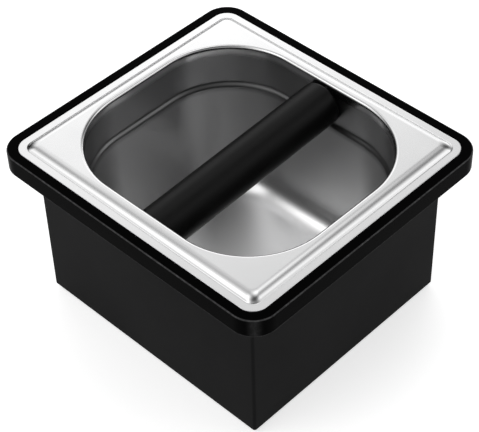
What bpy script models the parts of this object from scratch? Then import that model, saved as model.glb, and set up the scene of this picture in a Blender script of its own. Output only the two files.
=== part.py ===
"""Espresso knock box: a moulded plastic box, a drop-in steel pan and a rubber-covered knock bar across the pan.

Metres, +Z up. Origin: centre of the footprint, on the surface that the feet stand on.
+X runs along the knock bar, +Y along the longer side of the pan.
"""

import math

import bmesh
import bpy
from mathutils import Matrix, Vector

MM = 0.001

# ---- overall heights (above the surface the feet stand on) ----
FOOT_PAD = 2.0 * MM  # rubber pad under the housing
GAP = 0.3 * MM  # running and seating gap between neighbours
HOUSING_Z = FOOT_PAD + GAP  # underside of the housing
HOUSING_H = 102.6 * MM  # underside to rim top
RIM_Z = HOUSING_Z + HOUSING_H  # top of the rim, flush with the pan's lip

# ---- outer housing ----
WALL_A, WALL_B, WALL_R = 72.8 * MM, 78.5 * MM, 1.6 * MM  # half sizes of the box and its corner radius
WALL_T = 2.0 * MM
FLOOR_T = 2.2 * MM
RIM_A, RIM_B, RIM_R = 86.9 * MM, 94.2 * MM, 14.5 * MM  # half sizes of the rim
RIM_ROUND = 0.8 * MM
SKIRT_H = 11.2 * MM
SKIRT_T = 2.3 * MM
LEDGE_Z = 3.2 * MM  # rim top to the underside of the ledge
LIP_FIT = 0.4 * MM  # pan lip to the recess around it
RECESS = 1.1 * MM  # depth of the recess that the pan's lip sits in

# ---- steel pan (one-sixth size, 176 x 162 flange, 100 deep) ----
SHEET = 0.8 * MM
LIP_A, LIP_B, LIP_R = 81.0 * MM, 88.0 * MM, 9.0 * MM
LIP_W, LIP_IN_R = 4.0 * MM, 5.6 * MM  # flat outer lip, and the corner radius on its inner side
STEP_W, STEP_H, STEP_R = 6.4 * MM, 2.8 * MM, 2.6 * MM  # raised step inside the lip
STEP_FILLET = 0.9 * MM  # at the step's foot; the rest of the step is one broad roll
MOUTH_INSET = 11.6 * MM  # lip edge to the start of the mouth's rounding
MOUTH_R = 48.4 * MM
MOUTH_ROUND = 2.0 * MM
SHOULDER_Z = 21.2 * MM  # below the rim
SHOULDER_W, SHOULDER_H = 1.8 * MM, 4.0 * MM
PAN_DEPTH = 100.0 * MM  # flange top to the underside of the floor
TAPER = 3.7 * MM
PAN_FOOT_R = 38.0 * MM
FLOOR_ROUND = 14.0 * MM
CORNER_STEPS = 10

# ---- knock bar ----
BAR_Y = 0.0 * MM
BAR_DROP = 13.8 * MM  # rim top to the middle of the bar's axis
BAR_SLOPE = math.radians(3.05)  # the +X end sits higher
SLEEVE_R, SLEEVE_HALF = 12.85 * MM, 66.05 * MM
SLEEVE_SHIFT = 0.45 * MM  # towards the +X end, which sits clear of the pan's shoulder
SLEEVE_ROUND, SLEEVE_EASE = 3.0 * MM, 2.0 * MM  # end rounding, across and along the bar
CORE_R, CORE_HALF = 8.0 * MM, 65.5 * MM
SLEEVE_BORE = CORE_R + 0.35 * MM
SCREW_R, SCREW_L = 3.0 * MM, 16.0 * MM
SCREW_HOLE = SCREW_R + GAP
HEAD_R, HEAD_H, SOCKET_R, SOCKET_D = 6.0 * MM, 1.2 * MM, 2.0 * MM, 2.2 * MM
SEAL_R, SEAL_T = 5.5 * MM, 0.8 * MM
TURN_STEPS = 32

# ---- feet ----
FOOT_X, FOOT_Y = 52.0 * MM, 58.0 * MM
PAD_R = 7.0 * MM
STEM_R = 2.0 * MM
BARB_R, BARB_H = 3.2 * MM, 1.2 * MM

# ---- colours ----
PLASTIC = (0.012, 0.012, 0.013, 1.0)
STEEL = (0.72, 0.72, 0.73, 1.0)
RUBBER = (0.008, 0.008, 0.008, 1.0)


def clear_scene():
    for obj in list(bpy.data.objects):
        bpy.data.objects.remove(obj, do_unlink=True)


def collection(name):
    made = bpy.data.collections.new(name)
    bpy.context.scene.collection.children.link(made)
    return made


def material(name, colour, roughness, metallic):
    made = bpy.data.materials.new(name)
    made.use_nodes = True
    shader = made.node_tree.nodes["Principled BSDF"]
    shader.inputs["Base Color"].default_value = colour
    shader.inputs["Roughness"].default_value = roughness
    shader.inputs["Metallic"].default_value = metallic
    made.diffuse_color = colour
    return made


def empty(name, place, turn=(0, 0, 0), parent=None):
    made = bpy.data.objects.new(name, None)
    PARTS.objects.link(made)
    made.location = place
    made.rotation_euler = turn
    made.parent = parent
    return made


def add(name, bm, look, place=(0, 0, 0), turn=(0, 0, 0), parent=None, into=None):
    mesh = bpy.data.meshes.new(name)
    bm.to_mesh(mesh)
    bm.free()
    mesh.shade_smooth()
    mesh.set_sharp_from_angle(angle=math.radians(35))
    made = bpy.data.objects.new(name, mesh)
    (into or PARTS).objects.link(made)
    if look is not None:
        made.data.materials.append(look)
    made.location = place
    made.rotation_euler = turn
    made.parent = parent
    return made


def rounded_rectangle(a, b, r, z, steps=CORNER_STEPS):
    """Counter-clockwise points of a rectangle of half sizes a and b with corner radius r."""
    points = []
    for corner, (sx, sy) in enumerate(((1, 1), (-1, 1), (-1, -1), (1, -1))):
        for i in range(steps + 1):
            angle = math.radians(90 * (corner + i / steps))
            points.append(Vector((sx * (a - r) + r * math.cos(angle), sy * (b - r) + r * math.sin(angle), z)))
    return points


def between(first, last, kind, steps):
    """Sections after first, up to last, following a quarter round or an S-shaped step."""
    made = []
    for i in range(1, steps + 1):
        u = i / steps
        if kind == "over":  # flat, turning down
            s, t = math.sin(u * math.pi / 2), 1 - math.cos(u * math.pi / 2)
        elif kind == "under":  # down, turning flat
            s, t = 1 - math.cos(u * math.pi / 2), math.sin(u * math.pi / 2)
        else:  # a smooth shoulder
            s, t = (1 - math.cos(u * math.pi)) / 2, u
        mix = [f + (l - f) * s for f, l in zip(first[:3], last[:3])]
        made.append((*mix, first[3] + (last[3] - first[3]) * t))
    return made


def rolled(first, last, fillet, foot_steps, roll_steps):
    """Sections after first, up to last, for a step with a small fillet at its foot and a broad roll above."""
    width, height = first[0] - last[0], last[3] - first[3]
    steep = 2 * math.atan2(height, width)
    roll = width / math.sin(steep) - fillet
    made = []
    for i in range(1, foot_steps + 1):
        angle = steep * i / foot_steps
        made.append((fillet * math.sin(angle), fillet * (1 - math.cos(angle))))
    for i in range(1, roll_steps + 1):
        angle = steep * (1 - i / roll_steps)
        made.append((width - roll * math.sin(angle), height - roll * (1 - math.cos(angle))))
    return [
        (*(f + (l - f) * across / width for f, l in zip(first[:3], last[:3])), first[3] + up) for across, up in made
    ]


def loft(sections, cap_first, cap_last):
    """A surface through sections (half size a, half size b, corner radius, height)."""
    bm = bmesh.new()
    rings = [[bm.verts.new(p) for p in rounded_rectangle(*section)] for section in sections]
    for low, high in zip(rings, rings[1:]):
        for i in range(len(low)):
            j = (i + 1) % len(low)
            bm.faces.new((low[i], low[j], high[j], high[i]))
    if cap_first:
        bm.faces.new(list(reversed(rings[0])))
    if cap_last:
        bm.faces.new(rings[-1])
    return bm


def turned(name, profile, look, closed=False, **where):
    """A turned piece: (radius, height) from top to bottom on the outer side, spun round its own Z."""
    bm = bmesh.new()
    verts = [bm.verts.new((r, 0, z)) for r, z in profile]
    for one, two in zip(verts, verts[1:]):
        bm.edges.new((one, two))
    if closed:
        bm.edges.new((verts[-1], verts[0]))
    made = add(name, bm, look, **where)
    spin = made.modifiers.new("turn", "SCREW")
    spin.axis = "Z"
    spin.angle = math.radians(360)
    spin.steps = spin.render_steps = TURN_STEPS
    spin.use_merge_vertices = True
    spin.merge_threshold = 0.00001
    spin.use_smooth_shade = True
    return made


def rod_cutter(name, radius, length, place, turn=(0, 0, 0), segments=32, parent=None):
    bm = bmesh.new()
    bmesh.ops.create_cone(bm, cap_ends=True, segments=segments, radius1=radius, radius2=radius, depth=length)
    made = add(name, bm, None, place, turn, parent, into=CUTTERS)
    made.hide_render = True
    made.display_type = "WIRE"
    return made


def cut(target, cutter):
    made = target.modifiers.new(cutter.name, "BOOLEAN")
    made.operation = "DIFFERENCE"
    made.solver = "EXACT"
    made.object = cutter


clear_scene()
PARTS = collection("espresso_knock_box")
CUTTERS = collection("cutters")

plastic = material("satin_black_plastic", PLASTIC, 0.45, 0.0)
steel = material("satin_stainless", STEEL, 0.25, 1.0)
core_steel = material("plain_steel_rod", STEEL, 0.35, 1.0)
screw_steel = material("screw_steel", STEEL, 0.3, 1.0)
rubber = material("black_bar_rubber", RUBBER, 0.75, 0.0)
seal_rubber = material("seal_rubber", RUBBER, 0.7, 0.0)
foot_rubber = material("foot_rubber", RUBBER, 0.8, 0.0)

# ---- outer housing: box, ledge and down-turned skirt in one moulding ----
h = HOUSING_H
edge = 0.4 * MM
skirt_a, skirt_b, skirt_r = RIM_A - SKIRT_T, RIM_B - SKIRT_T, RIM_R - SKIRT_T
seat_a, seat_b, seat_r = LIP_A + LIP_FIT, LIP_B + LIP_FIT, LIP_R + LIP_FIT
in_a, in_b, in_r = WALL_A - WALL_T, WALL_B - WALL_T, 1.0 * MM
sections = [
    (WALL_A - edge, WALL_B - edge, WALL_R - edge, 0),
    (WALL_A, WALL_B, WALL_R, edge),
    (WALL_A, WALL_B, WALL_R, h - LEDGE_Z - 1.0 * MM),
]
sections += between(sections[-1], (WALL_A + 1.0 * MM, WALL_B + 1.0 * MM, WALL_R + 1.0 * MM, h - LEDGE_Z), "under", 2)
sections += [
    (skirt_a, skirt_b, skirt_r, h - LEDGE_Z),
    (skirt_a, skirt_b, skirt_r, h - SKIRT_H),
    (RIM_A - edge / 2, RIM_B - edge / 2, RIM_R - edge / 2, h - SKIRT_H),
    (RIM_A, RIM_B, RIM_R, h - SKIRT_H + edge / 2),
    (RIM_A, RIM_B, RIM_R, h - RIM_ROUND),
]
sections += between(sections[-1], (RIM_A - RIM_ROUND, RIM_B - RIM_ROUND, RIM_R - RIM_ROUND, h), "under", 3)
sections += [
    (seat_a, seat_b, seat_r, h),
    (seat_a, seat_b, seat_r, h - RECESS),
    (in_a + 0.6 * MM, in_b + 0.6 * MM, in_r + 0.6 * MM, h - RECESS),
    (in_a, in_b, in_r, h - RECESS - 0.6 * MM),
    (in_a, in_b, in_r, FLOOR_T + 0.8 * MM),
    (in_a - 0.8 * MM, in_b - 0.8 * MM, 0.6 * MM, FLOOR_T),
]
outer_housing = add("outer_housing", loft(sections, True, True), plastic, place=(0, 0, HOUSING_Z))

# ---- steel pan: one drawn sheet, its seat empty at the rim's height ----
pan_seat = empty("pan_seat", (0, 0, RIM_Z))
floor_z = STEP_H - PAN_DEPTH + SHEET
step_in = LIP_W + STEP_W
wall_in = MOUTH_INSET + MOUTH_ROUND
sections = [
    (LIP_A, LIP_B, LIP_R, 0),
    (LIP_A - LIP_W, LIP_B - LIP_W, LIP_IN_R, 0),
]
sections += rolled(sections[-1], (LIP_A - step_in, LIP_B - step_in, STEP_R, STEP_H), STEP_FILLET, 2, 5)
sections += [(LIP_A - MOUTH_INSET, LIP_B - MOUTH_INSET, MOUTH_R, STEP_H)]
sections += between(
    sections[-1], (LIP_A - wall_in, LIP_B - wall_in, MOUTH_R - MOUTH_ROUND, STEP_H - MOUTH_ROUND), "over", 4
)
sections += [(LIP_A - wall_in - 0.1 * MM, LIP_B - wall_in - 0.1 * MM, MOUTH_R - MOUTH_ROUND, -SHOULDER_Z)]
a, b, r, z = sections[-1]
sections += between(sections[-1], (a - SHOULDER_W, b - SHOULDER_W, r - SHOULDER_W, z - SHOULDER_H), "shoulder", 4)
a, b, r, z = sections[-1]
sections += [(a - TAPER, b - TAPER, PAN_FOOT_R, floor_z + FLOOR_ROUND)]
a, b, r, z = sections[-1]
sections += between(sections[-1], (a - FLOOR_ROUND, b - FLOOR_ROUND, r - FLOOR_ROUND, floor_z), "under", 6)
steel_pan = add("steel_pan", loft(sections, False, True), steel, parent=pan_seat)
sheet = steel_pan.modifiers.new("sheet", "SOLIDIFY")
sheet.thickness = SHEET
sheet.offset = -1.0
sheet.use_even_offset = True
sheet.use_quality_normals = True

# ---- knock bar, on an empty that lies on its axis ----
bar_axis = empty("bar_axis", (0, BAR_Y, -BAR_DROP), (0, -BAR_SLOPE, 0), parent=pan_seat)
along_x = (0, math.radians(90), 0)  # a turned piece's top then points along +X
cut(steel_pan, rod_cutter("bar_screw_holes", SCREW_HOLE, 2 * (LIP_A + 5 * MM), (0, 0, 0), along_x, parent=bar_axis))

ease = 0.5 * MM
blind = SCREW_L - 0.6 * MM
bar_core = turned(
    "bar_core",
    [
        (0, CORE_HALF - blind),
        (SCREW_HOLE, CORE_HALF - blind),
        (SCREW_HOLE, CORE_HALF),
        (CORE_R - ease, CORE_HALF),
        (CORE_R, CORE_HALF - ease),
        (CORE_R, -CORE_HALF + ease),
        (CORE_R - ease, -CORE_HALF),
        (SCREW_HOLE, -CORE_HALF),
        (SCREW_HOLE, -CORE_HALF + blind),
        (0, -CORE_HALF + blind),
    ],
    core_steel,
    turn=along_x,
    parent=bar_axis,
)

quarter = [math.radians(90 * i / 4) for i in range(5)]
top_edge = [
    (SLEEVE_R - SLEEVE_ROUND * (1 - math.sin(q)), SLEEVE_HALF - SLEEVE_EASE * (1 - math.cos(q))) for q in quarter
]
outline = [(SLEEVE_BORE, SLEEVE_HALF)] + top_edge + [(r, -z) for r, z in reversed(top_edge)] + [(SLEEVE_BORE, -SLEEVE_HALF)]
bar_sleeve = turned(
    "bar_sleeve", outline, rubber, closed=True, place=(SLEEVE_SHIFT, 0, 0), turn=along_x, parent=bar_axis
)

wall_at_bar = LIP_A - wall_in
for side, sign in (("left", -1), ("right", 1)):
    facing = (0, math.radians(90 * sign), 0)
    # low-head screw, its head against the outside of the pan's wall
    head_from = wall_at_bar + SHEET + GAP + HEAD_R * math.sin(BAR_SLOPE)
    screw = turned(
        f"bar_screw_{side}",
        [
            (0, HEAD_H),
            (HEAD_R - 0.5 * MM, HEAD_H),
            (HEAD_R, HEAD_H - 0.5 * MM),
            (HEAD_R, 0),
            (SCREW_R, 0),
            (SCREW_R, -SCREW_L + 0.5 * MM),
            (SCREW_R - 0.5 * MM, -SCREW_L),
            (0, -SCREW_L),
        ],
        screw_steel,
        place=(sign * head_from, 0, 0),
        turn=facing,
        parent=bar_axis,
    )
    socket = rod_cutter(
        f"socket_{side}",
        SOCKET_R,
        2 * SOCKET_D,
        (sign * (head_from + HEAD_H), 0, 0),
        facing,
        segments=6,
        parent=bar_axis,
    )
    cut(screw, socket)
    # sealing washer between the pan's wall and the end of the core
    turned(
        f"bar_seal_{side}",
        [(SCREW_HOLE, SEAL_T), (SEAL_R, SEAL_T), (SEAL_R, 0), (SCREW_HOLE, 0)],
        seal_rubber,
        closed=True,
        place=(sign * (CORE_HALF + GAP), 0, 0),
        turn=facing,
        parent=bar_axis,
    )

# ---- push-in feet through the housing's floor ----
stem_top = HOUSING_Z + FLOOR_T + GAP
for name, sx, sy in (
    ("foot_front_left", -1, -1),
    ("foot_front_right", 1, -1),
    ("foot_back_left", -1, 1),
    ("foot_back_right", 1, 1),
):
    place = (sx * FOOT_X, sy * FOOT_Y, 0)
    turned(
        name,
        [
            (0, stem_top + BARB_H),
            (STEM_R, stem_top + BARB_H),
            (BARB_R, stem_top + 0.5 * MM),
            (BARB_R, stem_top),
            (STEM_R, stem_top),
            (STEM_R, FOOT_PAD),
            (PAD_R - 0.3 * MM, FOOT_PAD),
            (PAD_R, FOOT_PAD - 0.3 * MM),
            (PAD_R - 0.6 * MM, 0),
            (0, 0),
        ],
        foot_rubber,
        place=place,
    )
    cut(outer_housing, rod_cutter(f"hole_{name}", STEM_R + 0.35 * MM, 20 * MM, (place[0], place[1], 0)))
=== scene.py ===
import math

import bmesh
import bpy
from mathutils import Matrix, Vector


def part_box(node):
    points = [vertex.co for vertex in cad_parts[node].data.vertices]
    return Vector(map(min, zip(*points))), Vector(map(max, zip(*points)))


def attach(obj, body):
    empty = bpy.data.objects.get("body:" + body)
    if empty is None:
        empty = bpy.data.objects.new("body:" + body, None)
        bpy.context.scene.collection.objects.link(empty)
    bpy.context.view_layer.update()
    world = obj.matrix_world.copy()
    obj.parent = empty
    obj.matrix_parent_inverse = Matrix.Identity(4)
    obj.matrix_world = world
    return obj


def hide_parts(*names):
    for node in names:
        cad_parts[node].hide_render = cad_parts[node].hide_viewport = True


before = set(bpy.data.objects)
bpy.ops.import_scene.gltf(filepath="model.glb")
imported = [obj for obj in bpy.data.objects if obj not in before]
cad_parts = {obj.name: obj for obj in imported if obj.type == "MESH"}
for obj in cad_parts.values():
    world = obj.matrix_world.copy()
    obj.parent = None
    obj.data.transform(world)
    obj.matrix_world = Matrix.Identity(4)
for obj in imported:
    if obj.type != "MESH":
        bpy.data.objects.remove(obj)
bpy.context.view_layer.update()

MM = 0.001
CORNERS = ((1, 1), (-1, 1), (-1, -1), (1, -1))

# ------------------------------------------------------------------ sizes: bounds from the imported nodes, the rest given
H_LO, H_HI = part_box("outer_housing")
P_LO, P_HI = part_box("steel_pan")
RIM_A, RIM_B, RIM_Z = H_HI.x, H_HI.y, H_HI.z
HOUSING_Z = H_LO.z
LIP_A, LIP_B = P_HI.x, P_HI.y

WALL_A, WALL_B, WALL_R, WALL_T, FLOOR_T = 72.8 * MM, 78.5 * MM, 1.6 * MM, 2.0 * MM, 2.2 * MM
RIM_R, RIM_ROUND, SKIRT_H, SKIRT_T, LEDGE_Z = 14.5 * MM, 0.8 * MM, 11.2 * MM, 2.3 * MM, 3.2 * MM
LIP_FIT, RECESS = 0.4 * MM, 1.1 * MM
SHEET, LIP_R, LIP_W, LIP_IN_R = 0.8 * MM, 9.0 * MM, 4.0 * MM, 5.6 * MM
STEP_W, STEP_R, STEP_FILLET = 6.4 * MM, 2.6 * MM, 0.9 * MM
STEP_H = P_HI.z - RIM_Z
MOUTH_INSET, MOUTH_R, MOUTH_ROUND = 11.6 * MM, 48.4 * MM, 2.0 * MM
SHOULDER_Z, SHOULDER_W, SHOULDER_H = 21.2 * MM, 1.8 * MM, 4.0 * MM
TAPER, PAN_FOOT_R, FLOOR_ROUND = 3.7 * MM, 38.0 * MM, 14.0 * MM
BAR_DROP, BAR_SLOPE = 13.8 * MM, math.radians(3.05)
BAR = Matrix.Translation((0, 0, RIM_Z - BAR_DROP)) @ Matrix.Rotation(-BAR_SLOPE, 4, "Y")
SLEEVE_R, SLEEVE_HALF, SLEEVE_SHIFT = 12.85 * MM, 66.05 * MM, 0.45 * MM
SLEEVE_ROUND, SLEEVE_EASE = 3.0 * MM, 2.0 * MM
CORE_R, CORE_HALF = 8.0 * MM, 65.5 * MM
SLEEVE_BORE = CORE_R + 0.35 * MM
GAP = 0.3 * MM
SCREW_R, SCREW_L, SCREW_HOLE = 3.0 * MM, 16.0 * MM, 3.3 * MM
HEAD_R, HEAD_H, SOCKET_R, SOCKET_D = 6.0 * MM, 1.2 * MM, 2.0 * MM, 2.2 * MM
SEAL_R, SEAL_T = 5.5 * MM, 0.8 * MM
FOOT_PAD, PAD_R, STEM_R, BARB_R, BARB_H = 2.0 * MM, 7.0 * MM, 2.0 * MM, 3.2 * MM, 1.2 * MM


# ------------------------------------------------------------------ mesh tools
def outline(a, b, r, turn=28, run=8):
    """Counter-clockwise (x, y) of a rounded rectangle, with close points where each straight run meets its corners."""
    points = []
    near = 0.5 * MM
    for k, (sx, sy) in enumerate(CORNERS):
        for i in range(turn + 1):
            t = math.radians(90 * (k + i / turn))
            points.append(Vector((sx * (a - r) + r * math.cos(t), sy * (b - r) + r * math.sin(t))))
        nx, ny = CORNERS[(k + 1) % 4]
        t = math.radians(90 * (k + 1))
        start = points[-1]
        end = Vector((nx * (a - r) + r * math.cos(t), ny * (b - r) + r * math.sin(t)))
        length = (end - start).length
        edge = min(near / max(length, 1e-6), 0.2)
        for i in range(run):
            u = edge + (1 - 2 * edge) * i / (run - 1)
            points.append(start.lerp(end, u))
    return points


def glide(first, last, kind, steps):
    """Sections after first up to last: over and under are quarter rounds, shoulder is a smooth S shape."""
    made = []
    for i in range(1, steps + 1):
        u = i / steps
        if kind == "over":
            s, t = math.sin(u * math.pi / 2), 1 - math.cos(u * math.pi / 2)
        elif kind == "under":
            s, t = 1 - math.cos(u * math.pi / 2), math.sin(u * math.pi / 2)
        elif kind == "shoulder":
            s, t = (1 - math.cos(u * math.pi)) / 2, u
        else:
            s = t = u
        mix = [f + (l - f) * s for f, l in zip(first[:3], last[:3])]
        made.append((*mix, first[3] + (last[3] - first[3]) * t))
    return made


def rolled(first, last, fillet, foot_steps, roll_steps):
    """Sections after first up to last, for a step with a small fillet at its foot and a broad roll above."""
    width, height = first[0] - last[0], last[3] - first[3]
    steep = 2 * math.atan2(height, width)
    roll = width / math.sin(steep) - fillet
    made = []
    for i in range(1, foot_steps + 1):
        angle = steep * i / foot_steps
        made.append((fillet * math.sin(angle), fillet * (1 - math.cos(angle))))
    for i in range(1, roll_steps + 1):
        angle = steep * (1 - i / roll_steps)
        made.append((width - roll * math.sin(angle), height - roll * (1 - math.cos(angle))))
    return [(*(f + (l - f) * across / width for f, l in zip(first[:3], last[:3])), first[3] + up) for across, up in made]


def skin(sections, cap_first, cap_last, turn=28, run=8, bend=None):
    bm = bmesh.new()
    rings = []
    for index, (a, b, r, z) in enumerate(sections):
        ring = []
        for p in outline(a, b, r, turn, run):
            at = Vector((p.x, p.y, z))
            if bend:
                at = bend(index, at)
            ring.append(bm.verts.new(at))
        rings.append(ring)
    for low, high in zip(rings, rings[1:]):
        for i in range(len(low)):
            j = (i + 1) % len(low)
            bm.faces.new((low[i], low[j], high[j], high[i]))
    if cap_first:
        close_flat(bm, rings[0], True)
    if cap_last:
        close_flat(bm, rings[-1], False)
    return bm


def close_flat(bm, ring, flip):
    """Fills a flat end with an inner ring and a face, so that its shading stays flat."""
    middle = sum((v.co for v in ring), Vector()) / len(ring)
    inner = [bm.verts.new(middle + (v.co - middle) * 0.985) for v in ring]
    for i in range(len(ring)):
        j = (i + 1) % len(ring)
        face = (ring[i], ring[j], inner[j], inner[i])
        bm.faces.new(tuple(reversed(face)) if flip else face)
    bm.faces.new(list(reversed(inner)) if flip else inner)


def lathe(profile, turns=96, closed=False):
    """Spins (radius, height), listed top to bottom on the outer side, round Z."""
    bm = bmesh.new()
    rings = []
    for r, z in profile:
        if r < 1e-9:
            rings.append([bm.verts.new((0, 0, z))])
        else:
            rings.append(
                [
                    bm.verts.new((r * math.cos(2 * math.pi * i / turns), r * math.sin(2 * math.pi * i / turns), z))
                    for i in range(turns)
                ]
            )
    pairs = list(zip(rings, rings[1:]))
    if closed:
        pairs.append((rings[-1], rings[0]))
    for high, low in pairs:
        for i in range(turns):
            j = (i + 1) % turns
            if len(high) == 1 and len(low) == 1:
                continue
            if len(high) == 1:
                bm.faces.new((high[0], low[i], low[j]))
            elif len(low) == 1:
                bm.faces.new((high[i], low[0], high[j]))
            else:
                bm.faces.new((high[i], low[i], low[j], high[j]))
    return bm


def arc(cx, cz, r, start, end, steps):
    made = []
    for i in range(steps + 1):
        t = math.radians(start + (end - start) * i / steps)
        made.append((cx + r * math.cos(t), cz + r * math.sin(t)))
    return made


def piece(name, bm, matrix=None):
    bmesh.ops.recalc_face_normals(bm, faces=bm.faces)
    if matrix is not None:
        bm.transform(matrix)
    mesh = bpy.data.meshes.new(name)
    bm.to_mesh(mesh)
    bm.free()
    made = bpy.data.objects.new(name, mesh)
    bpy.context.scene.collection.objects.link(made)
    return made


def settle(obj, angle=32):
    """Applies the modifiers, then shades smooth with sharp edges kept."""
    graph = bpy.context.evaluated_depsgraph_get()
    mesh = bpy.data.meshes.new_from_object(obj.evaluated_get(graph))
    obj.modifiers.clear()
    old = obj.data
    obj.data = mesh
    bpy.data.meshes.remove(old)
    mesh.name = obj.name
    mesh.shade_smooth()
    mesh.set_sharp_from_angle(angle=math.radians(angle))


def cut(obj, cutters):
    for cutter in cutters:
        made = obj.modifiers.new("cut", "BOOLEAN")
        made.operation = "DIFFERENCE"
        made.solver = "EXACT"
        made.object = cutter
    bpy.context.view_layer.update()


def drop(cutters):
    for cutter in cutters:
        mesh = cutter.data
        bpy.data.objects.remove(cutter)
        bpy.data.meshes.remove(mesh)


def rod(radius, length, matrix, segments=64):
    bm = bmesh.new()
    bmesh.ops.create_cone(bm, cap_ends=True, segments=segments, radius1=radius, radius2=radius, depth=length)
    return piece("cutter", bm, matrix)


ALONG_X = Matrix.Rotation(math.radians(90), 4, "Y")
ALONG_MINUS_X = Matrix.Rotation(math.radians(-90), 4, "Y")


# ------------------------------------------------------------------ material tools
class Nodes:
    def __init__(self, name):
        self.material = bpy.data.materials.new(name)
        self.material.use_nodes = True
        self.tree = self.material.node_tree
        self.shader = self.tree.nodes["Principled BSDF"]
        coords = self.tree.nodes.new("ShaderNodeTexCoord")
        self.at = coords.outputs["Object"]

    def link(self, out, into):
        self.tree.links.new(out, into)

    def set(self, **values):
        for key, value in values.items():
            self.shader.inputs[key.replace("_", " ")].default_value = value

    def stretch(self, scale, turn=(0, 0, 0)):
        node = self.tree.nodes.new("ShaderNodeMapping")
        node.inputs["Scale"].default_value = scale
        node.inputs["Rotation"].default_value = turn
        self.link(self.at, node.inputs["Vector"])
        return node.outputs["Vector"]

    def noise(self, scale, detail=2.0, rough=0.5, vector=None, distortion=0.0):
        node = self.tree.nodes.new("ShaderNodeTexNoise")
        node.inputs["Scale"].default_value = scale
        node.inputs["Detail"].default_value = detail
        node.inputs["Roughness"].default_value = rough
        node.inputs["Distortion"].default_value = distortion
        self.link(vector or self.at, node.inputs["Vector"])
        return node.outputs["Fac"]

    def voronoi(self, scale, vector=None):
        node = self.tree.nodes.new("ShaderNodeTexVoronoi")
        node.inputs["Scale"].default_value = scale
        self.link(vector or self.at, node.inputs["Vector"])
        return node.outputs["Distance"]

    def math(self, kind, one, two=0.0, clamp=False):
        node = self.tree.nodes.new("ShaderNodeMath")
        node.operation = kind
        node.use_clamp = clamp
        for value, socket in ((one, node.inputs[0]), (two, node.inputs[1])):
            if isinstance(value, (int, float)):
                socket.default_value = value
            else:
                self.link(value, socket)
        return node.outputs[0]

    def span(self, value, low, high, to_low, to_high, smooth=False):
        node = self.tree.nodes.new("ShaderNodeMapRange")
        node.interpolation_type = "SMOOTHSTEP" if smooth else "LINEAR"
        self.link(value, node.inputs["Value"])
        for key, number in (("From Min", low), ("From Max", high), ("To Min", to_low), ("To Max", to_high)):
            node.inputs[key].default_value = number
        return node.outputs["Result"]

    def blend(self, mask, one, two):
        node = self.tree.nodes.new("ShaderNodeMix")
        node.data_type = "RGBA"
        node.blend_type = "MIX"
        for value, socket in ((mask, node.inputs[0]), (one, node.inputs[6]), (two, node.inputs[7])):
            if isinstance(value, (int, float, tuple)):
                socket.default_value = value
            else:
                self.link(value, socket)
        return node.outputs[2]

    def mix(self, mask, one, two):
        node = self.tree.nodes.new("ShaderNodeMix")
        node.data_type = "FLOAT"
        for value, socket in ((mask, node.inputs[0]), (one, node.inputs[2]), (two, node.inputs[3])):
            if isinstance(value, (int, float)):
                socket.default_value = value
            else:
                self.link(value, socket)
        return node.outputs[0]

    def height(self):
        node = self.tree.nodes.new("ShaderNodeSeparateXYZ")
        self.link(self.at, node.inputs[0])
        return node.outputs["Z"]

    def marked(self, name):
        node = self.tree.nodes.new("ShaderNodeAttribute")
        node.attribute_name = name
        return node.outputs["Fac"]

    def bump(self, height, distance, strength, after=None):
        node = self.tree.nodes.new("ShaderNodeBump")
        node.inputs["Strength"].default_value = strength
        node.inputs["Distance"].default_value = distance
        self.link(height, node.inputs["Height"])
        if after is not None:
            self.link(after, node.inputs["Normal"])
        return node.outputs["Normal"]


def plastic_material(name, light, dark, rough, shine, grain_depth):
    m = Nodes(name)
    mottle = m.noise(38, 4, 0.6)
    wear_and_highlight = m.math("MULTIPLY", m.marked("wear_and_highlight"), m.span(m.noise(420, 4, 0.7), 0.42, 0.62, 0.55, 1.0), True)
    colour = m.blend(m.span(mottle, 0.35, 0.65, 0, 1), (dark, dark, dark * 1.03, 1), (light, light, light * 1.03, 1))
    # lighter colour where marked: partly worn edges, partly a painted highlight
    colour = m.blend(m.math("MULTIPLY", wear_and_highlight, 0.9), colour, (0.15, 0.15, 0.152, 1))
    m.link(colour, m.shader.inputs["Base Color"])
    mixed = m.span(m.noise(11, 3, 0.5), 0.3, 0.7, rough - 0.04, rough + 0.04)
    m.link(m.math("ADD", mixed, m.math("MULTIPLY", wear_and_highlight, 0.12)), m.shader.inputs["Roughness"])
    m.set(Specular_IOR_Level=shine)
    near = m.bump(m.noise(2600, 3, 0.6), grain_depth, 0.5)
    m.link(m.bump(m.noise(55, 2, 0.5), 0.0004, 0.04, near), m.shader.inputs["Normal"])
    return m.material


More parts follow.
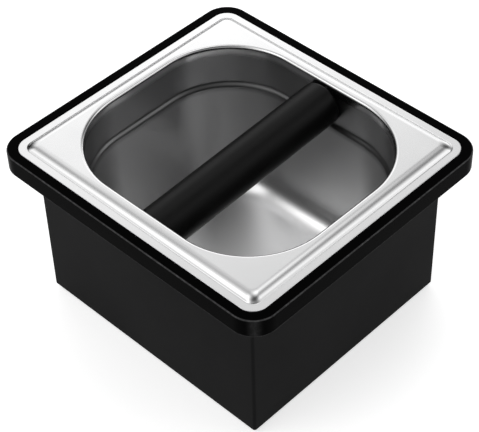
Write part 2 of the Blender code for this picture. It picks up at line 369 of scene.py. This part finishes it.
def steel_material():
    m = Nodes("satin_stainless")
    rolled = m.noise(1, 3, 0.6, m.stretch((3600, 90, 3600)))
    drawn = m.noise(1, 3, 0.6, m.stretch((2200, 2200, 60)))
    separate = m.tree.nodes.new("ShaderNodeNewGeometry")
    parts = m.tree.nodes.new("ShaderNodeSeparateXYZ")
    m.link(separate.outputs["Normal"], parts.inputs[0])
    flat = m.span(m.math("ABSOLUTE", parts.outputs["Z"]), 0.35, 0.8, 0, 1, True)
    grain = m.mix(flat, drawn, rolled)
    cloud = m.noise(34, 4, 0.55)
    smudge = m.noise(9, 3, 0.6, distortion=0.6)
    colour = m.blend(m.span(cloud, 0.3, 0.7, 0, 1), (0.575, 0.575, 0.578, 1), (0.60, 0.60, 0.602, 1))
    z, floor = m.height(), P_LO.z + SHEET
    painted_shade_inside = m.span(z, RIM_Z - 0.5 * MM, RIM_Z - 4 * MM, 0, 1, True)
    painted_shade_upper_band = m.span(z, RIM_Z - SHOULDER_Z - 1.8 * SHOULDER_H, RIM_Z - SHOULDER_Z - SHOULDER_H, 0, 1, True)
    # painted shade: the inside of the pan below the mouth is darker than the flange
    colour = m.blend(painted_shade_inside, colour, (0.45, 0.45, 0.453, 1))
    # painted shade: a still darker band from the mouth down over the shoulder, which also dulls the shoulder's
    # highlight
    colour = m.blend(m.math("MULTIPLY", painted_shade_inside, painted_shade_upper_band), colour, (0.30, 0.30, 0.303, 1))
    # painted light: the pan floor is made much lighter than its walls
    colour = m.blend(m.span(z, floor + 13 * MM, floor + 2 * MM, 0, 1, True), colour, (0.9, 0.9, 0.9, 1))
    m.link(colour, m.shader.inputs["Base Color"])
    inside = m.span(m.height(), RIM_Z - 1.5 * MM, RIM_Z - 5 * MM, 0, 0.13, True)
    rough = m.math("ADD", m.span(grain, 0.3, 0.7, 0.19, 0.21), m.span(smudge, 0.35, 0.7, -0.005, 0.012))
    rough = m.math("ADD", rough, inside)
    m.link(rough, m.shader.inputs["Roughness"])
    m.set(Metallic=1.0)
    m.link(m.bump(cloud, 0.0006, 0.006), m.shader.inputs["Normal"])
    return m.material


def rubber_material(name, base, rough, scale=1500):
    m = Nodes(name)
    pores = m.noise(scale, 4, 0.65)
    dust = m.noise(60, 5, 0.6)
    pulled = m.noise(1, 2, 0.5, m.stretch((12, 700, 700)))
    colour = m.blend(m.span(dust, 0.4, 0.75, 0, 1), (base, base, base, 1), (base * 1.6, base * 1.6, base * 1.6, 1))
    m.link(colour, m.shader.inputs["Base Color"])
    m.link(m.span(dust, 0.3, 0.7, rough - 0.05, rough + 0.06), m.shader.inputs["Roughness"])
    m.set(Specular_IOR_Level=0.1)
    near = m.bump(pores, 0.00006, 0.5)
    m.link(m.bump(pulled, 0.00005, 0.3, near), m.shader.inputs["Normal"])
    return m.material


def turned_material(name, base, rough):
    m = Nodes(name)
    rings = m.noise(1, 2, 0.5, m.stretch((5200, 260, 260)))
    cloud = m.noise(90, 4, 0.6)
    colour = m.blend(m.span(cloud, 0.3, 0.7, 0, 1), (base * 0.9, base * 0.9, base * 0.92, 1), (base, base, base, 1))
    m.link(colour, m.shader.inputs["Base Color"])
    m.link(m.span(rings, 0.3, 0.7, rough - 0.05, rough + 0.07), m.shader.inputs["Roughness"])
    m.set(Metallic=1.0)
    m.link(m.bump(rings, 0.00002, 0.5), m.shader.inputs["Normal"])
    return m.material


def wear_and_highlight_marks(obj, test):
    """Stores, 0 to 1, how much lighter each point is in the material: worn edges, partly a painted highlight."""
    marks = obj.data.attributes.new("wear_and_highlight", "FLOAT", "POINT")
    marks.data.foreach_set("value", [test(v.co) for v in obj.data.vertices])


# ------------------------------------------------------------------ housing
def make_housing():
    h, base = RIM_Z, HOUSING_Z
    e = 0.3 * MM
    s = []
    edge = 0.5 * MM
    s += [(WALL_A - edge, WALL_B - edge, WALL_R - edge, base)]
    s += glide(s[-1], (WALL_A, WALL_B, WALL_R, base + edge), "over", 4)
    s += [(WALL_A, WALL_B, WALL_R, base + edge + e)]
    top = h - LEDGE_Z
    for i in range(1, 12):
        z = base + edge + e + (top - 1.0 * MM - e - base - edge - e) * i / 11
        s += [(WALL_A, WALL_B, WALL_R, z)]
    s += [(WALL_A, WALL_B, WALL_R, top - 1.0 * MM)]
    s += glide(s[-1], (WALL_A + 1.0 * MM, WALL_B + 1.0 * MM, WALL_R + 1.0 * MM, top), "under", 5)
    s += [(WALL_A + 1.0 * MM + e, WALL_B + 1.0 * MM + e, WALL_R + 1.0 * MM + e, top)]
    ia, ib, ir = RIM_A - SKIRT_T, RIM_B - SKIRT_T, RIM_R - SKIRT_T
    f = 0.8 * MM
    s += [(ia - f - e, ib - f - e, ir - f - e, top), (ia - f, ib - f, ir - f, top)]
    s += glide(s[-1], (ia, ib, ir, top - f), "over", 4)
    s += [(ia, ib, ir, top - f - e)]
    low = h - SKIRT_H
    c = 0.35 * MM
    s += [(ia, ib, ir, low + c + e), (ia, ib, ir, low + c)]
    s += glide(s[-1], (ia + c, ib + c, ir + c, low), "under", 3)
    s += [(RIM_A - c, RIM_B - c, RIM_R - c, low)]
    s += glide(s[-1], (RIM_A, RIM_B, RIM_R, low + c), "over", 4)
    s += [(RIM_A, RIM_B, RIM_R, low + c + e), (RIM_A, RIM_B, RIM_R, (low + h) / 2)]
    s += [(RIM_A, RIM_B, RIM_R, h - RIM_ROUND - e), (RIM_A, RIM_B, RIM_R, h - RIM_ROUND)]
    s += glide(s[-1], (RIM_A - RIM_ROUND, RIM_B - RIM_ROUND, RIM_R - RIM_ROUND, h), "under", 8)
    s += [(RIM_A - RIM_ROUND - e, RIM_B - RIM_ROUND - e, RIM_R - RIM_ROUND - e, h)]
    sa, sb, sr = LIP_A + LIP_FIT, LIP_B + LIP_FIT, LIP_R + LIP_FIT
    g = 0.15 * MM
    s += [(sa + g + e, sb + g + e, sr + g + e, h), (sa + g, sb + g, sr + g, h)]
    s += glide(s[-1], (sa, sb, sr, h - g), "over", 3)
    s += [(sa, sb, sr, h - RECESS + 0.1 * MM), (sa - 0.1 * MM, sb - 0.1 * MM, sr - 0.1 * MM, h - RECESS)]
    s += [(sa - 0.4 * MM, sb - 0.4 * MM, sr - 0.4 * MM, h - RECESS)]
    wa, wb, wr = WALL_A - WALL_T, WALL_B - WALL_T, 1.0 * MM
    k = 0.6 * MM
    s += [(wa + k + e, wb + k + e, wr + k + e, h - RECESS), (wa + k, wb + k, wr + k, h - RECESS)]
    s += glide(s[-1], (wa, wb, wr, h - RECESS - k), "over", 4)
    s += [(wa, wb, wr, h - RECESS - k - e)]
    s += [(wa, wb, wr, base + FLOOR_T + 0.8 * MM + e), (wa, wb, wr, base + FLOOR_T + 0.8 * MM)]
    s += glide(s[-1], (wa - 0.8 * MM, wb - 0.8 * MM, 0.3 * MM, base + FLOOR_T), "under", 4)
    obj = piece("housing_shell", skin(s, True, True, turn=24, run=8))
    holes = []
    for name in ("foot_front_left", "foot_front_right", "foot_back_left", "foot_back_right"):
        lo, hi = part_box(name)
        middle = (lo + hi) / 2
        holes.append(rod(STEM_R + 0.35 * MM, 20 * MM, Matrix.Translation((middle.x, middle.y, 0)), 48))
    cut(obj, holes)
    settle(obj)
    drop(holes)

    # marks along the rim's outer top edge and the skirt's lower edge are partly worn edges and partly a painted
    # highlight line
    def edge_wear_and_highlight(p):
        over = min(abs(p.z - RIM_Z), 3 * MM) / (0.7 * MM)
        out = max(abs(p.x) - (RIM_A - 0.8 * MM), abs(p.y) - (RIM_B - 0.8 * MM)) / (0.5 * MM)
        corner = Vector((max(abs(p.x) - (RIM_A - RIM_R), 0), max(abs(p.y) - (RIM_B - RIM_R), 0)))
        painted_corner_highlight = 0.0
        if corner.x > 0 and corner.y > 0:
            out = (corner.length - (RIM_R - 0.8 * MM)) / (0.5 * MM)
            # painted highlight: a lighter patch down the middle of each skirt corner
            if RIM_Z - SKIRT_H - 0.1 * MM < p.z < RIM_Z - 0.5 * MM and corner.length > RIM_R - 0.5 * MM:
                painted_corner_highlight = max(0.0, 0.2 - 0.5 * abs(corner.x - corner.y) / corner.length)
        top = max(0.0, 1 - over) * max(0.0, min(1.0, out))
        under = max(0.0, 1 - abs(p.z - (RIM_Z - SKIRT_H)) / (0.6 * MM)) * max(0.0, min(1.0, out))
        return max(top, 0.7 * under, painted_corner_highlight)

    wear_and_highlight_marks(obj, edge_wear_and_highlight)
    obj.data.materials.clear()
    # the rim and skirt copy has a smoother finish, which is real, and a much darker colour than the walls, which is
    # painted shade
    obj.data.materials.append(plastic_material("grained_abs_walls", 0.0078, 0.0066, 0.5, 0.022, 0.000008))
    obj.data.materials.append(plastic_material("smooth_abs_rim", 0.0012, 0.0009, 0.26, 0.005, 0.000002))
    for face in obj.data.polygons:
        face.material_index = 1 if face.center.z > RIM_Z - SKIRT_H - 0.1 * MM else 0
    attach(obj, "housing")
    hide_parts("outer_housing")
    return obj


# ------------------------------------------------------------------ pan
def make_pan():
    z0 = RIM_Z
    floor = P_LO.z + SHEET
    e = 0.25 * MM
    s = [(LIP_A, LIP_B, LIP_R, z0 - 0.25 * MM)]
    s += glide(s[-1], (LIP_A - 0.25 * MM, LIP_B - 0.25 * MM, LIP_R - 0.2 * MM, z0), "under", 4)
    s += [(LIP_A - 0.5 * MM, LIP_B - 0.5 * MM, LIP_R - 0.3 * MM, z0)]
    s += [(LIP_A - LIP_W + e, LIP_B - LIP_W + e, LIP_IN_R + e, z0), (LIP_A - LIP_W, LIP_B - LIP_W, LIP_IN_R, z0)]
    step_in = LIP_W + STEP_W
    s += rolled(s[-1], (LIP_A - step_in, LIP_B - step_in, STEP_R, z0 + STEP_H), STEP_FILLET, 6, 16)
    e = 0.1 * MM
    outer = (LIP_A - step_in - e, LIP_B - step_in - e, STEP_R + e, z0 + STEP_H)
    mouth = (LIP_A - MOUTH_INSET, LIP_B - MOUTH_INSET, MOUTH_R, z0 + STEP_H)
    s += [outer]
    s += glide(outer, (mouth[0] + e, mouth[1] + e, mouth[2] + e, mouth[3]), "even", 8)
    s += [mouth]
    wall_in = MOUTH_INSET + MOUTH_ROUND
    s += glide(s[-1], (LIP_A - wall_in, LIP_B - wall_in, MOUTH_R - MOUTH_ROUND, z0 + STEP_H - MOUTH_ROUND), "over", 12)
    a, b, r, z = s[-1]
    s += glide((a, b, r, z), (a - 0.1 * MM, b - 0.1 * MM, r, z0 - SHOULDER_Z), "even", 10)
    a, b, r, z = s[-1]
    s += glide(s[-1], (a - SHOULDER_W, b - SHOULDER_W, r - SHOULDER_W, z - SHOULDER_H), "shoulder", 12)
    a, b, r, z = s[-1]
    s += glide(s[-1], (a - TAPER, b - TAPER, PAN_FOOT_R, floor + FLOOR_ROUND), "even", 16)
    a, b, r, z = s[-1]
    s += glide(s[-1], (a - FLOOR_ROUND, b - FLOOR_ROUND, r - FLOOR_ROUND, floor), "under", 20)
    a, b, r, z = s[-1]
    for shrink in (0.3 * MM, 6 * MM, 14 * MM):
        s += [(a - shrink, b - shrink, max(r - shrink, 8 * MM), floor)]
    obj = piece_open("pan_sheet", skin(s, False, True, turn=36, run=12))
    sheet = obj.modifiers.new("sheet", "SOLIDIFY")
    sheet.thickness = SHEET
    sheet.offset = -1.0
    sheet.use_even_offset = True
    sheet.use_quality_normals = True
    hole = rod(SCREW_HOLE, 2 * LIP_A, BAR @ ALONG_X, 64)
    cut(obj, [hole])
    settle(obj)
    drop([hole])
    obj.data.materials.clear()
    obj.data.materials.append(steel_material())
    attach(obj, "pan")
    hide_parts("steel_pan")
    return obj


def piece_open(name, bm):
    """As piece(), for an open sheet: its faces are turned so that the seen side is up and in."""
    bm.normal_update()
    bm.faces.ensure_lookup_table()
    if bm.faces[-1].normal.z < 0:
        bmesh.ops.reverse_faces(bm, faces=bm.faces)
    mesh = bpy.data.meshes.new(name)
    bm.to_mesh(mesh)
    bm.free()
    made = bpy.data.objects.new(name, mesh)
    bpy.context.scene.collection.objects.link(made)
    return made


# ------------------------------------------------------------------ knock bar
def make_bar():
    r, half, q, ease = SLEEVE_R, SLEEVE_HALF, SLEEVE_ROUND, SLEEVE_EASE
    top = [(SLEEVE_BORE, half - 0.3 * MM), (SLEEVE_BORE + 0.3 * MM, half), (r - q - 0.2 * MM, half)]
    top += [(r - q + x * q, half - ease + z * ease) for x, z in arc(0, 0, 1, 90, 0, 14)]
    sides = [(r, (half - ease - 0.3 * MM) * (1 - i / 12)) for i in range(25)]
    bottom = [(x, -z) for x, z in reversed(top)]
    place = BAR @ Matrix.Translation((SLEEVE_SHIFT, 0, 0)) @ ALONG_X
    sleeve = piece("knock_sleeve", lathe(top + sides + bottom, 160, closed=True), place)
    settle(sleeve, 40)
    sleeve.data.materials.append(rubber_material("knock_rubber", 0.004, 0.38))
    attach(sleeve, "sleeve")
    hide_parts("bar_sleeve")

    c, blind = 0.5 * MM, SCREW_L - 0.6 * MM
    end = [(0, CORE_HALF - blind), (SCREW_HOLE, CORE_HALF - blind + 1.2 * MM), (SCREW_HOLE, CORE_HALF - 0.4 * MM), (SCREW_HOLE + 0.4 * MM, CORE_HALF)]
    end += [(CORE_R - c, CORE_HALF), (CORE_R, CORE_HALF - c)]
    run = [(CORE_R, (CORE_HALF - c) * (1 - i / 10)) for i in range(1, 20)]
    core = piece("bar_rod", lathe(end + run + [(x, -z) for x, z in reversed(end)], 96), BAR @ ALONG_X)
    settle(core)
    core.data.materials.append(turned_material("turned_rod", 0.62, 0.32))
    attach(core, "pan")
    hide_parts("bar_core")

    seal_black = rubber_material("seal_rubber_look", 0.012, 0.6, 2200)
    screw_steel = turned_material("screw_steel_look", 0.66, 0.28)
    for side, sign, way in (("left", -1, ALONG_MINUS_X), ("right", 1, ALONG_X)):
        head_from = LIP_A - MOUTH_INSET - MOUTH_ROUND + SHEET + GAP + HEAD_R * math.sin(BAR_SLOPE)
        place = BAR @ Matrix.Translation((sign * head_from, 0, 0)) @ way
        f = 0.5 * MM
        thread = [(SCREW_R, 0 - 0.8 * MM)]
        pitch, turns = 1.0 * MM, 13
        for i in range(turns):
            z = -1.6 * MM - i * pitch
            thread += [(SCREW_R, z + 0.12 * MM), (SCREW_R, z - 0.12 * MM), (SCREW_R - 0.5 * MM, z - 0.5 * pitch)]
        shape = [(0, HEAD_H), (HEAD_R - f - 0.4 * MM, HEAD_H)] + arc(HEAD_R - f, HEAD_H - f, f, 90, 0, 8)
        shape += [(HEAD_R, 0.15 * MM), (HEAD_R - 0.15 * MM, 0), (SCREW_R + 0.2 * MM, 0), (SCREW_R, -0.2 * MM)]
        shape += thread + [(SCREW_R - 0.6 * MM, -SCREW_L + 0.2 * MM), (SCREW_R - 0.8 * MM, -SCREW_L), (0, -SCREW_L)]
        screw = piece(f"screw_{side}", lathe(shape, 64), place)
        socket = rod(SOCKET_R, 2 * SOCKET_D, place @ Matrix.Translation((0, 0, HEAD_H)), 6)
        cut(screw, [socket])
        settle(screw)
        drop([socket])
        screw.data.materials.clear()
        screw.data.materials.append(screw_steel)
        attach(screw, "pan")
        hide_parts(f"bar_screw_{side}")

        place = BAR @ Matrix.Translation((sign * (CORE_HALF + GAP), 0, 0)) @ way
        t, q = SEAL_T, 0.3 * MM
        ring = arc(SCREW_HOLE + q, t - q, q, 180, 90, 4) + arc(SEAL_R - q, t - q, q, 90, 0, 6)
        ring += arc(SEAL_R - q, q, q, 0, -90, 6) + arc(SCREW_HOLE + q, q, q, -90, -180, 4)
        seal = piece(f"seal_{side}", lathe(ring, 72, closed=True), place)
        settle(seal)
        seal.data.materials.append(seal_black)
        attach(seal, "pan")
        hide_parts(f"bar_seal_{side}")


# ------------------------------------------------------------------ feet
def make_feet():
    black = rubber_material("foot_rubber_look", 0.012, 0.65, 1800)
    stem = HOUSING_Z + FLOOR_T + GAP
    pad = [(STEM_R, FOOT_PAD + 0.0 * MM), (PAD_R - 0.7 * MM, FOOT_PAD)]
    pad += arc(PAD_R - 0.4 * MM, FOOT_PAD - 0.4 * MM, 0.4 * MM, 90, 0, 5)
    pad += [(PAD_R - 0.15 * MM, 0.9 * MM)] + arc(PAD_R - 0.85 * MM, 0.5 * MM, 0.5 * MM, 0, -90, 6)
    groove = []
    for r in (5.0, 3.6, 2.2):
        groove += [(r * MM, 0), (r * MM - 0.15 * MM, 0.25 * MM), (r * MM - 0.45 * MM, 0.25 * MM), (r * MM - 0.6 * MM, 0)]
    shape = [(0, stem + BARB_H), (STEM_R - 0.4 * MM, stem + BARB_H)] + arc(STEM_R - 0.4 * MM, stem + BARB_H - 0.3 * MM, 0.3 * MM, 90, 20, 4)
    shape += [(BARB_R - 0.1 * MM, stem + 0.45 * MM), (BARB_R, stem + 0.3 * MM), (BARB_R, stem + 0.1 * MM), (BARB_R - 0.1 * MM, stem), (STEM_R, stem)]
    shape += pad + groove + [(0, 0)]
    for name in ("foot_front_left", "foot_front_right", "foot_back_left", "foot_back_right"):
        lo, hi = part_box(name)
        middle = (lo + hi) / 2
        foot = piece(f"{name}_pad", lathe(shape, 72), Matrix.Translation((middle.x, middle.y, 0)))
        settle(foot)
        foot.data.materials.append(black)
        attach(foot, "housing")
        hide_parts(name)


# ------------------------------------------------------------------ stage, light and camera
def make_stage():
    bm = bmesh.new()
    bmesh.ops.create_grid(bm, x_segments=1, y_segments=1, size=4.0)
    floor = piece("studio_floor", bm)
    floor.location.z = -0.00005
    m = Nodes("studio_floor_look")
    m.link(m.blend(m.noise(3, 2, 0.5), (0.86, 0.86, 0.86, 1), (0.88, 0.88, 0.88, 1)), m.shader.inputs["Base Color"])
    m.set(Roughness=0.8, Specular_IOR_Level=0.2)
    m.shader.inputs["Emission Color"].default_value = (1, 1, 1, 1)
    m.set(Emission_Strength=0.6)
    floor.data.materials.append(m.material)


# the studio: soft panels of light all round, as (azimuth from +X, elevation, brightness)
PANELS = (
    (15, 68, 2.26),
    (135, 68, 1.6),
    (45, 38, 0.95),
    (77, 46, 1.4),
    (143, 46, 2.3),
    (176, 46, 1.58),
    (215, 46, 0.5),
    (241, 46, 0.35),
    (274, 46, 0.3),
    (307, 46, 1.5),
    (33, 24, 1.42),
    (57, 24, 1.37),
    (129, 24, 1.32),
    (297, 24, 0.17),
    (321, 24, 1.8),
    (15, 6, 2.0),
    (345, 6, 0.5),
)
PANEL_SHARPNESS = 30.0


def make_light():
    """A surround of soft panels, each bright in the middle and fading out."""
    world = bpy.data.worlds.new("studio")
    bpy.context.scene.world = world
    world.use_nodes = True
    tree = world.node_tree
    new, link = tree.nodes.new, tree.links.new
    way = new("ShaderNodeTexCoord").outputs["Generated"]
    total = None
    for azimuth, elevation, brightness in PANELS:
        az, el = math.radians(azimuth), math.radians(elevation)
        dot = new("ShaderNodeVectorMath")
        dot.operation = "DOT_PRODUCT"
        dot.inputs[1].default_value = (math.cos(az) * math.cos(el), math.sin(az) * math.cos(el), math.sin(el))
        link(way, dot.inputs[0])
        fade = new("ShaderNodeMath")
        fade.operation = "MULTIPLY_ADD"
        fade.inputs[1].default_value = PANEL_SHARPNESS
        fade.inputs[2].default_value = -PANEL_SHARPNESS
        link(dot.outputs["Value"], fade.inputs[0])
        shape = new("ShaderNodeMath")
        shape.operation = "EXPONENT"
        link(fade.outputs[0], shape.inputs[0])
        add = new("ShaderNodeMath")
        add.operation = "MULTIPLY_ADD"
        add.inputs[1].default_value = brightness
        add.inputs[2].default_value = 0.0
        link(shape.outputs[0], add.inputs[0])
        if total is not None:
            link(total, add.inputs[2])
        total = add.outputs[0]
    link(total, tree.nodes["Background"].inputs["Color"])
    tree.nodes["Background"].inputs["Strength"].default_value = 1.0


def make_camera():
    az, el, roll = (math.radians(v) for v in (-44.7209, 44.439, -1.9065))
    scale, distance, tx, ty, focal = 0.1738, 5.1798, -0.0114, 0.2146, 1584.467
    back = Vector((math.sin(az) * math.cos(el), -math.cos(az) * math.cos(el), math.sin(el)))
    right = Vector((0, 0, 1)).cross(back).normalized()
    up = back.cross(right)
    r2 = right * math.cos(roll) + up * math.sin(roll)
    u2 = up * math.cos(roll) - right * math.sin(roll)
    at = (back * distance + r2 * tx + u2 * ty) * scale + Vector((0, 0, HOUSING_Z))
    data = bpy.data.cameras.new("camera")
    data.sensor_width = 36.0
    data.lens = focal / 479.0 * 36.0
    data.clip_start = 0.01
    camera = bpy.data.objects.new("camera", data)
    turn = Matrix((r2, u2, back)).transposed().to_4x4()
    camera.matrix_world = Matrix.Translation(at) @ turn
    bpy.context.scene.collection.objects.link(camera)
    bpy.context.scene.camera = camera


make_camera()
make_housing()
make_pan()
make_bar()
make_feet()
make_stage()
make_light()
bpy.context.scene.view_settings.view_transform = "Standard"
